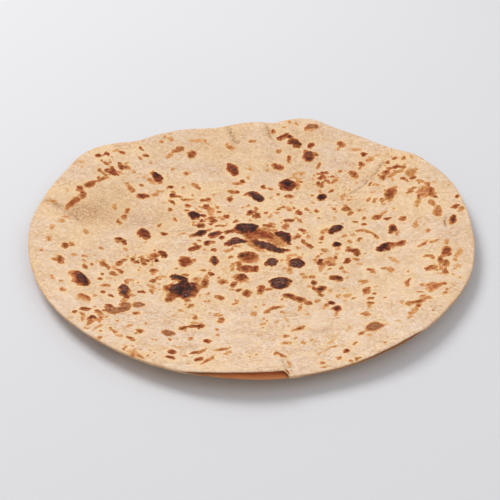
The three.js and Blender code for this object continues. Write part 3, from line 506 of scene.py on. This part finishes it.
def along_and_across(points, x, y, turn):
    """The points' places along and across a line that runs through (x, y) in the direction turn."""
    angle = math.radians(turn)
    dx = points[:, 0] - x
    dy = points[:, 1] - y
    along = dx * math.cos(angle) + dy * math.sin(angle)
    across = dy * math.cos(angle) - dx * math.sin(angle)
    return along, across


def bells_at(points, places):
    """The sum of soft oval rises: middle, length, width, turn and height."""
    total = np.zeros(len(points))
    for x, y, long, wide, turn, high in places:
        along, across = along_and_across(points, x, y, turn)
        total += high * bell(np.hypot(along / (long / 2), across / (wide / 2)), 1)
    return total


def away_from(points, run):
    """How far each point lies from a run of straight stretches."""
    nearest = np.full(len(points), np.inf)
    for start, end in zip(run, run[1:]):
        length = math.dist(start, end)
        turn = math.degrees(math.atan2(end[1] - start[1], end[0] - start[0]))
        along, across = along_and_across(points, *start, turn)
        nearest = np.minimum(nearest, np.hypot(along - np.clip(along, 0, length), across))
    return nearest


def creases_at(points):
    return -sum(deep * bell(away_from(points, run), wide / 2) for deep, wide, run in CREASES)


def crack_and_shade_lines_at(points):
    return np.max([strong * bell(away_from(points, run), CRACK_WIDTH) for strong, run in CRACK_AND_SHADE_LINES], axis=0)


def wander(points, grain, seed):
    """A smooth random vector at each point, whose turns are about one grain apart."""
    seed_set(seed)
    return np.array([noise_vector((x / grain, y / grain, 0)) for x, y in points])


def reach_into(points, marks):
    """How far inside the nearest mark each point lies, in mm, and less than 0 where it lies outside."""
    reach = np.full(len(points), -float(OUT_OF_REACH))
    for x, y, long, wide, turn in marks:
        span = max(long, wide) / 2 + OUT_OF_REACH
        near = np.flatnonzero((abs(points[:, 0] - x) < span) & (abs(points[:, 1] - y) < span))
        along, across = along_and_across(points[near], x, y, turn)
        half_long = long / 2
        half_wide = wide / 2
        share = np.hypot(along / half_long, across / half_wide)
        slope = np.hypot(along / half_long**2, across / half_wide**2)
        outside = (1 - share) * share / np.maximum(slope, LEAST_SLOPE)
        inside = (1 - share) * min(half_long, half_wide)
        reach[near] = np.maximum(reach[near], np.where(share < 1, inside, outside))
    return reach


def scattered_freckles():
    """The sprays' freckles as marks."""
    random = np.random.default_rng(SEED)
    marks = []
    for x, y, spread, count, size in FRECKLE_SPRAYS:
        for _ in range(count):
            dx, dy = random.normal(0, spread / 2, 2)
            long = size * math.exp(random.normal(0, FRECKLE_VARIETY))
            wide = long * random.uniform(*FRECKLE_WIDTHS)
            marks.append((x + dx, y + dy, long, wide, random.uniform(0, 180)))
    return marks


def dough_shell():
    """A square sheet whose border is drawn over the rim ring by ring, and a coarser sheet underneath."""
    shell = bmesh.new()
    ring_layer = shell.verts.layers.int.new("ring")
    bmesh.ops.create_grid(shell, x_segments=TOP_STEPS[0], y_segments=TOP_STEPS[1], size=1)
    rim = [edge for edge in shell.edges if edge.is_boundary]
    for ring in range(1, UNDERSIDE_RING):
        made = bmesh.ops.extrude_edge_only(shell, edges=rim)["geom"]
        for vert in (item for item in made if isinstance(item, bmesh.types.BMVert)):
            vert[ring_layer] = ring
        rim = [item for item in made if isinstance(item, bmesh.types.BMEdge) and item.is_boundary]
    under = bmesh.ops.create_grid(
        shell, x_segments=UNDERSIDE_STEPS, y_segments=UNDERSIDE_STEPS, size=1
    )["verts"]
    for vert in under:
        vert[ring_layer] = UNDERSIDE_RING
    open_borders = [edge for edge in shell.edges if edge.is_boundary]
    return shell, ring_layer, open_borders


def square_to_disc(u, v):
    """The share of the way out and the direction of a point of the square, whose rings become circles."""
    share = np.maximum(abs(u), abs(v))
    safe_u = np.where(u == 0, 1, u)
    safe_v = np.where(v == 0, 1, v)
    beside = np.degrees(np.pi / 4 * v / safe_u) + np.where(u < 0, 180, 0)
    ahead = 90 - np.degrees(np.pi / 4 * u / safe_v) + np.where(v < 0, 180, 0)
    return share, np.where(abs(u) >= abs(v), beside, ahead)


def shape_dough(u, v, ring):
    """Each point's place in mm on the drawing's axes, and what its finish needs to know of it."""
    share, direction = square_to_disc(u, v)
    outline = outline_at(direction)
    seam_depth = np.full(len(u), SEAM_DEPTH)
    set_back = np.zeros(len(u))
    open_share = np.zeros(len(u))
    painted_shade = seam_shade_at(direction)
    for pocket in POCKETS:
        pocket_open = mouth_at(direction, pocket)
        seam_depth += (pocket["cavity"] - SEAM_DEPTH) * np.sqrt(pocket_open)
        set_back += pocket["set_back"] * pocket_open
        open_share = np.maximum(open_share, pocket_open)
        painted_shade = np.maximum(painted_shade, pocket["painted_shade"] * np.sqrt(pocket_open))

    inset, seam, level, upper, inner = np.array(RIM_RINGS)[ring].T
    inset = np.where(seam > 0, seam * seam_depth, inset)
    inset += (RADIUS - inset) * (1 - share)
    inset += np.where(seam == 0, upper * set_back * (1 - ease(inset, TOP_INSET, SET_BACK_REACH)), 0)
    radius = (1 - inset / RADIUS) * outline
    place = np.empty((len(u), 3))
    place[:, 0] = radius * np.cos(np.radians(direction))
    place[:, 1] = radius * np.sin(np.radians(direction))
    place[:, 2] = sheet_at(radius / outline, direction) + level
    for pocket in POCKETS:
        place[:, 2] += upper * pocket_at(inset, direction, pocket)
    fields = {
        "side": upper,
        # How strongly the gap inside a mouth and the shut seam are painted with shade.
        "mouth": inner * painted_shade,
        "rim": (1 - ease(inset, 0, RIM_BAND)) * (share > RIM_SHARE) * (1 - open_share),
    }
    return place, fields


def scorch_fields(points):
    """How far each point reaches into the marks of each kind, and how strong its halo, its smudges of flour
    and painted shade, and its cracks and painted crease lines are.
    """
    strayed = points - MARKS_SLIP
    for grain, seed, far in MARK_WANDERS:
        strayed += far * wander(points, grain, seed)[:, :2]
    freckles = scattered_freckles()
    marks = {
        "char": CHAR_MARKS,
        "dark": DARK_MARKS,
        "brown": BROWN_MARKS + freckles[::3],
        "tan": TAN_MARKS + freckles[1::3] + freckles[2::3],
        "faint": FAINT_MARKS,
        "smooth": SMOOTH_MARKS,
    }
    soft_patches = {"halo": HALOS, "dusted": DUSTED, "ash": ASH_SPOTS, "smudge": FLOUR_AND_SHADE_SMUDGES}
    fields = {name: reach_into(strayed, rows) for name, rows in marks.items()}
    fields.update((name, np.clip(bells_at(strayed, rows), 0, 1)) for name, rows in soft_patches.items())
    fields["crack_and_shade"] = crack_and_shade_lines_at(strayed)
    return fields


def raise_top(place, fields, on_top):
    """The griddle's relief on the top face: blisters, creases, puffed marks and a slight unevenness."""
    points = place[on_top, :2]
    high = bells_at(points, BLISTERS) + creases_at(points)
    for kinds, start, full, height in PUFFS:
        reach = np.max([fields[kind][on_top] for kind in kinds], axis=0)
        high += height * ease(reach, start, full)
    for grain, seed, height in UNEVENNESS:
        high += height * wander(points, grain, seed)[:, 2]
    place[on_top, 2] += high


def fit_to_frame(place):
    """Carries the drawing's places to the frame: the box's middle on the CAD node's, its foot at 0."""
    low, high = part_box("chapati")
    middle = (np.array(low) + np.array(high)) / 2 / MM
    own_middle = (place.min(axis=0) + place.max(axis=0)) / 2
    place[:, :2] += (middle - own_middle)[:2]
    place[:, 2] += low[2] / MM - place[:, 2].min()
    return place * MM


def put_in_scene(name, data):
    thing = bpy.data.objects.new(name, data)
    bpy.context.collection.objects.link(thing)
    return thing


def put_shape_in_scene(name, shape):
    mesh = bpy.data.meshes.new(name)
    shape.to_mesh(mesh)
    shape.free()
    return put_in_scene(name, mesh)


def bake_chapati():
    shell, ring_layer, open_borders = dough_shell()
    square = np.array([vert.co[:2] for vert in shell.verts])
    ring = np.array([vert[ring_layer] for vert in shell.verts])
    place, fields = shape_dough(square[:, 0], square[:, 1], ring)
    fields.update(scorch_fields(place[:, :2]))
    raise_top(place, fields, ring == TOP_RING)
    for vert, spot in zip(shell.verts, fit_to_frame(place)):
        vert.co = spot
    bmesh.ops.bridge_loops(shell, edges=open_borders)
    bmesh.ops.recalc_face_normals(shell, faces=shell.faces)
    for face in shell.faces:
        face.smooth = True

    bread = put_shape_in_scene("chapati_bread", shell)
    for name, values in fields.items():
        field = bread.data.attributes.new(name, "FLOAT", "POINT")
        field.data.foreach_set("value", values.astype(np.float32))
    return bread


def light_of(colour):
    """The shader's linear light for a colour as the eye names it, from 0 to 255."""
    shares = [channel / 255 for channel in colour]
    linear = [s / 12.92 if s <= 0.04045 else ((s + 0.055) / 1.055) ** 2.4 for s in shares]
    return (*linear, 1)


# How far beyond its drawn edge a mark bleeds, in mm.
MARK_BLEED = 0.3

# For each kind of mark: where its edge starts and how deep it goes in mm, the level there, and the level
# in its middle and the depth at which it is reached. At the level CHARRED all is char.
SCORCH_GRADES = [
    ("char", -0.6, 0.0, 2.1, 3.85, 1.2),
    ("dark", -0.5, 0.1, 1.8, 3.0, 1.8),
    ("brown", -0.5, 0.1, 1.45, 2.35, 1.7),
    ("smooth", -0.5, 0.1, 1.45, 1.65, 1.0),
    ("tan", -0.5, 0.2, 1.1, 1.5, 1.3),
    ("faint", -0.6, 0.3, 0.6, 0.95, 1.2),
]
CHARRED = 4.0

# The colours of a scorch from plain dough to char, and at which share of char each stands.
SCORCH_STOPS = (0, 0.25, 0.5, 0.75, 1)
RED_SCORCH = ((238, 202, 150), (214, 145, 92), (162, 80, 45), (102, 47, 36), (50, 29, 27))
OLIVE_SCORCH = ((238, 202, 150), (204, 152, 88), (148, 87, 42), (94, 53, 33), (50, 30, 26))
UNDER_STOPS = (0, 0.35, 0.75)
UNDER_COLOURS = ((232, 196, 150), (206, 150, 102), (150, 92, 62))

ACORN_COLOURS = ((186, 126, 88), (128, 84, 58))
ACORN_EDGE = (148, 90, 56)
ASH = (150, 110, 96)
# Painted shade: the orange-brown of the dim, bounce-lit gap inside a mouth, and the darker brown of the
# shaded lip and shut seam.
MOUTH_SHADE_COLOURS = ((242, 164, 108), (222, 140, 89))
SHADED_LIP = (172, 118, 78)
PALE_DOUGH = (233, 206, 181)
YELLOW_DOUGH = (239, 205, 163)
DUSTY_DOUGH = (238, 214, 195)
FLOURY_DOUGH = (217, 181, 148)
DARK_GRAIN = (202, 155, 113)
PALE_FLECKS = (252, 229, 197)
TOASTED_DOUGH = (237, 197, 143)
DRIED_DOUGH = (245, 208, 154)
# Dark flour and painted shade in the folds and on the dimmer parts of the sheet; painted shade along the
# creases and cracks.
FOLD_FLOUR_AND_SHADE = (186, 140, 100)
CRACK_SHADE = (146, 98, 64)
RIM_DOUGH = (214, 166, 122)
RIM_TINT = 0.45

# Patches that noise makes: the noise's grain in mm, its seed, and its detail and stretch where they aren't 2
# and none. Then between which noise they set in and are full, and their strength before and after, where
# that isn't 0 and 1.
PATCHES = {
    "broken tan": ((1.7, 14), (0.36, 0.6, 0.65, 1.1)),
    "uneven scorch": ((2.4, 3), (0.3, 0.7, 0.72, 1.15)),
    "yellow": ((28, 5), (0.36, 0.66)),
    "dusted": ((5, 19), (0.3, 0.6)),
    "flour": ((7, 6, 4), (0.44, 0.64, 0, 0.55)),
    "grainy": ((16, 15), (0.4, 0.62, 0.4)),
    "grain": ((1.6, 7), (0.4, 0.68, 0, 0.76)),
    "flecks": ((2.4, 16, 3), (0.48, 0.68, 0, 0.5)),
    "toasted": ((1.7, 27), (0.45, 0.62, 0, 0.34)),
    "peppered": ((12, 23), (0.46, 0.6)),
    "pepper": ((0.9, 26, 1), (0.54, 0.68, 0, 0.55)),
    "halo": ((3.5, 8), (0.3, 0.65)),
    # The next two break up the dark flour and painted shade of the folds, and the painted crease lines.
    "smudge": ((0.9, 9, 3), (0.42, 0.62, 0.25)),
    "crack_and_shade": ((1.2, 18), (0.35, 0.6)),
    "olive": ((8, 25), (0.42, 0.62, 0.1, 0.55)),
    "acorn": ((1.3, 24), (0.42, 0.6)),
    "ash": ((0.85, 4, 1), (0.46, 0.6, 0.05, 0.8)),
    "underside": ((20, 10, 4), (0.56, 0.75, 0, 0.62)),
    "streaks": ((3, 11, 3, (0.15, 1, 1)), (0.3, 0.7)),
}

# How the marks' edges wander in the finish, finely and more widely, and how the dried ring round them does:
# grain in mm, seed, detail and how far in mm.
TORN_EDGE = (1.5, 1, 1, 1.7)
STRAYED_EDGE = (3.6, 2, 1, 2.0)
DRIED_EDGE = (2.5, 17, 2, 4.0)

# Where each look sets in and where it is full, and its strength before and after, if that isn't 0 and 1.
# These go by how far inside a mark a point lies, in mm:
DRIED_RING = (-3.4, -0.6, 0, 0.45)
ACORN_MIDDLE = (0.1, 1.3)
ACORN_SHOWS = (-0.2, 0.6, 0, 0.75)
# these by the level of scorch:
ACORN_UNSCORCHED = (1.95, 2.3, 1, 0)
ASH_SHOWS = (2.2, 3)
CRUST_SHOWS = (1.5, 3.5)
ROUGHNESS = (2, 4, 0.9, 0.75)
# this by the share of char:
SCORCH_SHOWS = (0, 0.2)
# and these by how strongly a mouth's gap is painted with shade:
MOUTH_SHOWS = (0, 0.6)
MOUTH_INSIDE = (0.5, 0.9)

# The skin's fine relief: grain in mm, seed and detail of its noise, of the crust on the marks too, and its
# depth in mm. Then how much of it shows, and how much the skin shines.
SKIN_GRAIN = (0.7, 12, 3)
CRUST_GRAIN = (1.1, 13)
SKIN_DEPTH = 0.15
RELIEF_STRENGTH = 0.6
SHINE = 0.12

# What the shader's noise is on average.
NOISE_MIDDLE = 0.5


class Finish:
    """A material's node tree, with a short way to add each kind of node that the finishes use."""

    def __init__(self, name):
        self.material = bpy.data.materials.new(name)
        self.material.use_nodes = True
        self.tree = self.material.node_tree
        self.tree.nodes.clear()

    def node(self, kind, sockets, **settings):
        made = self.tree.nodes.new(kind)
        for name, value in settings.items():
            setattr(made, name, value)
        for socket, value in sockets.items():
            self.feed(made.inputs[socket], value)
        return made

    def feed(self, socket, value):
        """Links the value to the socket where it is a socket itself, and else sets it there."""
        if isinstance(value, bpy.types.NodeSocket):
            self.tree.links.new(value, socket)
        else:
            socket.default_value = value

    def field(self, name):
        return self.node("ShaderNodeAttribute", {}, attribute_name=name).outputs["Fac"]

    def noise(self, grain, seed, detail=2, stretch=(1, 1, 1)):
        """Noise from about 0.2 to 0.8, whose turns are about one grain apart, in mm."""
        spot = self.node("ShaderNodeTexCoord", {}).outputs["Object"]
        shifted = self.node(
            "ShaderNodeMapping", {"Vector": spot, "Location": (seed, -seed, seed), "Scale": stretch}
        )
        sockets = {"Vector": shifted.outputs["Vector"], "Scale": 1 / (grain * MM), "Detail": detail}
        return self.node("ShaderNodeTexNoise", sockets).outputs["Fac"]

    def maths(self, operation, first, second):
        return self.node("ShaderNodeMath", {0: first, 1: second}, operation=operation).outputs["Value"]

    def times(self, first, second):
        return self.maths("MULTIPLY", first, second)

    def plus(self, first, second):
        return self.maths("ADD", first, second)

    def greatest(self, first, *others):
        for other in others:
            first = self.maths("MAXIMUM", first, other)
        return first

    def ease(self, value, low, high, start=0.0, end=1.0):
        sockets = {"Value": value, "From Min": low, "From Max": high, "To Min": start, "To Max": end}
        made = self.node("ShaderNodeMapRange", sockets, interpolation_type="SMOOTHSTEP")
        return made.outputs["Result"]

    def patches(self, name):
        noise, turn = PATCHES[name]
        return self.ease(self.noise(*noise), *turn)

    def broken_field(self, name):
        """A field, broken up by the patches of the same name."""
        return self.times(self.field(name), self.patches(name))

    def wander(self, grain, seed, detail, far):
        """Noise as a length in mm that swings to either side of nothing."""
        return self.times(self.maths("SUBTRACT", self.noise(grain, seed, detail), NOISE_MIDDLE), far)

    def blend(self, share, first, second):
        made = self.node("ShaderNodeMix", {"Factor": share}, data_type="RGBA")
        sockets = {socket.identifier: socket for socket in (*made.inputs, *made.outputs)}
        for name, colour in (("A_Color", first), ("B_Color", second)):
            self.feed(sockets[name], light_of(colour) if isinstance(colour, tuple) else colour)
        return sockets["Result_Color"]

    def ramp(self, value, stops, colours):
        made = self.node("ShaderNodeValToRGB", {"Fac": value})
        elements = made.color_ramp.elements
        while len(elements) < len(stops):
            elements.new(1)
        for element, position, colour in zip(elements, stops, colours):
            element.position = position
            element.color = light_of(colour)
        return made.outputs["Color"]

    def surface(self, colour, roughness, height, depth):
        sockets = {"Height": height, "Strength": RELIEF_STRENGTH, "Distance": depth * MM}
        bump = self.node("ShaderNodeBump", sockets)
        sockets = {
            "Base Color": colour,
            "Roughness": roughness,
            "Specular IOR Level": SHINE,
            "Normal": bump.outputs["Normal"],
        }
        shader = self.node("ShaderNodeBsdfPrincipled", sockets)
        self.node("ShaderNodeOutputMaterial", {"Surface": shader.outputs["BSDF"]})
        return self.material


def scorch_level(finish):
    """How far the top is scorched at each point: 0 is plain dough, 1 tan, 2 brown, 3 dark and 4 char."""
    ragged = finish.plus(finish.wander(*TORN_EDGE), finish.wander(*STRAYED_EDGE))
    ragged = finish.plus(ragged, MARK_BLEED)
    grades = []
    for name, edge_start, edge_depth, edge_level, middle_level, middle_depth in SCORCH_GRADES:
        reach = finish.plus(finish.field(name), ragged)
        edge = finish.ease(reach, edge_start, edge_depth, 0, edge_level)
        middle = finish.ease(reach, edge_depth, middle_depth, 0, middle_level - edge_level)
        grade = finish.plus(edge, middle)
        if name == "tan":
            grade = finish.times(grade, finish.patches("broken tan"))
        grades.append(grade)
    return finish.times(finish.greatest(*grades), finish.patches("uneven scorch"))


def plain_dough(finish):
    """The unscorched dough: floury, with yellower and greyer patches, grain in some of them, and painted
    shade in the folds, along the creases and over the dimmer parts of the sheet.
    """
    near = finish.greatest(*(finish.field(kind) for kind in ("char", "dark", "brown")))
    ring = finish.ease(finish.plus(near, finish.wander(*DRIED_EDGE)), *DRIED_RING)
    tints = [
        (finish.broken_field("dusted"), DUSTY_DOUGH),
        (finish.patches("flour"), FLOURY_DOUGH),
        (finish.times(finish.patches("grain"), finish.patches("grainy")), DARK_GRAIN),
        (finish.patches("flecks"), PALE_FLECKS),
        (finish.patches("toasted"), TOASTED_DOUGH),
        (finish.times(finish.patches("pepper"), finish.patches("peppered")), DARK_GRAIN),
        (finish.greatest(finish.broken_field("halo"), ring), DRIED_DOUGH),
        # Dark flour and painted shade in the folds, and painted shade along the creases and cracks.
        (finish.broken_field("smudge"), FOLD_FLOUR_AND_SHADE),
        (finish.broken_field("crack_and_shade"), CRACK_SHADE),
    ]
    dough = finish.blend(finish.patches("yellow"), PALE_DOUGH, YELLOW_DOUGH)
    for share, tint in tints:
        dough = finish.blend(share, dough, tint)
    return dough


def scorched_top(finish, level, dough):
    """The dough with its scorches, smooth marks and ash."""
    shade = finish.times(level, 1 / CHARRED)
    red, olive = (finish.ramp(shade, SCORCH_STOPS, colours) for colours in (RED_SCORCH, OLIVE_SCORCH))
    scorch = finish.blend(finish.patches("olive"), red, olive)
    top = finish.blend(finish.ease(shade, *SCORCH_SHOWS), dough, scorch)
    smooth = finish.field("smooth")
    acorn = finish.blend(finish.patches("acorn"), *ACORN_COLOURS)
    acorn = finish.blend(finish.ease(smooth, *ACORN_MIDDLE), ACORN_EDGE, acorn)
    share = finish.times(finish.ease(smooth, *ACORN_SHOWS), finish.ease(level, *ACORN_UNSCORCHED))
    top = finish.blend(share, top, acorn)
    ashy = finish.times(finish.ease(level, *ASH_SHOWS), finish.broken_field("ash"))
    return finish.blend(ashy, top, ASH)


def baked_dough():
    finish = Finish("baked_dough")
    level = scorch_level(finish)
    dough = plain_dough(finish)
    top = scorched_top(finish, level, dough)
    under_shade = finish.patches("underside")
    under_scorch = finish.ramp(under_shade, UNDER_STOPS, UNDER_COLOURS)
    under = finish.blend(finish.ease(under_shade, *SCORCH_SHOWS), dough, under_scorch)
    skin = finish.blend(finish.field("side"), under, top)
    skin = finish.blend(finish.times(finish.field("rim"), RIM_TINT), skin, RIM_DOUGH)
    # Painted shade: the inside of each mouth and the shut seam take the dark, warm colour of a shaded gap.
    mouth = finish.field("mouth")
    inside = finish.blend(finish.patches("streaks"), *MOUTH_SHADE_COLOURS)
    inside = finish.blend(finish.ease(mouth, *MOUTH_INSIDE), SHADED_LIP, inside)
    skin = finish.blend(finish.ease(mouth, *MOUTH_SHOWS), skin, inside)

    crust = finish.times(finish.noise(*CRUST_GRAIN), finish.ease(level, *CRUST_SHOWS))
    height = finish.plus(finish.noise(*SKIN_GRAIN), crust)
    return finish.surface(skin, finish.ease(level, *ROUGHNESS), height, SKIN_DEPTH)


# The floor: half its width and how far it lies under the bread, in metres, its two tones and the grain and
# seed of the noise between them, and the grain and seed, depth in mm and roughness of its face.
FLOOR_REACH = 6
FLOOR_DROP = 0.0001
FLOOR_TONES = ((222, 221, 223), (226, 225, 227))
FLOOR_CLOUDS = (300, 20)
FLOOR_GRAIN = (5, 21)
FLOOR_DEPTH = 0.01
FLOOR_ROUGHNESS = 0.9


def lay_floor():
    """The plain pale ground that the bread rests on."""
    ground = bmesh.new()
    bmesh.ops.create_grid(ground, x_segments=1, y_segments=1, size=FLOOR_REACH)
    bmesh.ops.translate(ground, vec=(0, 0, -FLOOR_DROP), verts=ground.verts)
    floor = put_shape_in_scene("floor", ground)
    finish = Finish("pale_floor")
    tone = finish.blend(finish.noise(*FLOOR_CLOUDS), *FLOOR_TONES)
    surface = finish.surface(tone, FLOOR_ROUGHNESS, finish.noise(*FLOOR_GRAIN), FLOOR_DEPTH)
    floor.data.materials.append(surface)


# The soft square lamps, which shine at the bread: name, place in metres, power in watts and size in metres.
# Then the colour and strength of the light from all round.
LAMPS = [("key", (-0.75, 0.7, 1.3), 16.2, 0.8), ("fill", (0.9, -0.9, 1.4), 3.0, 1.2)]
SKY_COLOUR = (0.97, 0.98, 1, 1)
SKY_STRENGTH = 0.54


def light_studio():
    for name, place, power, size in LAMPS:
        lamp = bpy.data.lights.new(name, "AREA")
        lamp.energy = power
        lamp.size = size
        light = put_in_scene(name, lamp)
        light.location = place
        light.rotation_euler = (-Vector(place)).to_track_quat("-Z", "Y").to_euler()
    world = bpy.data.worlds.new("studio")
    world.use_nodes = True
    sky = world.node_tree.nodes["Background"].inputs
    sky["Color"].default_value = SKY_COLOUR
    sky["Strength"].default_value = SKY_STRENGTH
    bpy.context.scene.world = world
    bpy.context.scene.view_settings.view_transform = "Standard"


# The camera: what it aims at and how far off it stands, in mm, how it is tilted, in degrees, and its lens.
CAMERA_AIM = (-1.0, -14.96, 6)
CAMERA_DISTANCE = 642
CAMERA_ELEVATION = 34.7
CAMERA_ROLL = 1.44
CAMERA_LENS = 85
CAMERA_SENSOR = 36


def set_camera():
    lens = bpy.data.cameras.new("camera")
    lens.lens = CAMERA_LENS
    lens.sensor_width = CAMERA_SENSOR
    camera = put_in_scene("camera", lens)
    tilt = math.radians(CAMERA_ELEVATION)
    back = Vector((0, -math.cos(tilt), math.sin(tilt)))
    place = (Vector(CAMERA_AIM) + CAMERA_DISTANCE * back) * MM
    turn = Matrix.Rotation(math.pi / 2 - tilt, 4, "X") @ Matrix.Rotation(math.radians(CAMERA_ROLL), 4, "Z")
    camera.matrix_world = Matrix.Translation(place) @ turn
    bpy.context.scene.camera = camera


bread = bake_chapati()
bread.data.materials.append(baked_dough())
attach(bread, "root")
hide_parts("chapati")
lay_floor()
light_studio()
set_camera()
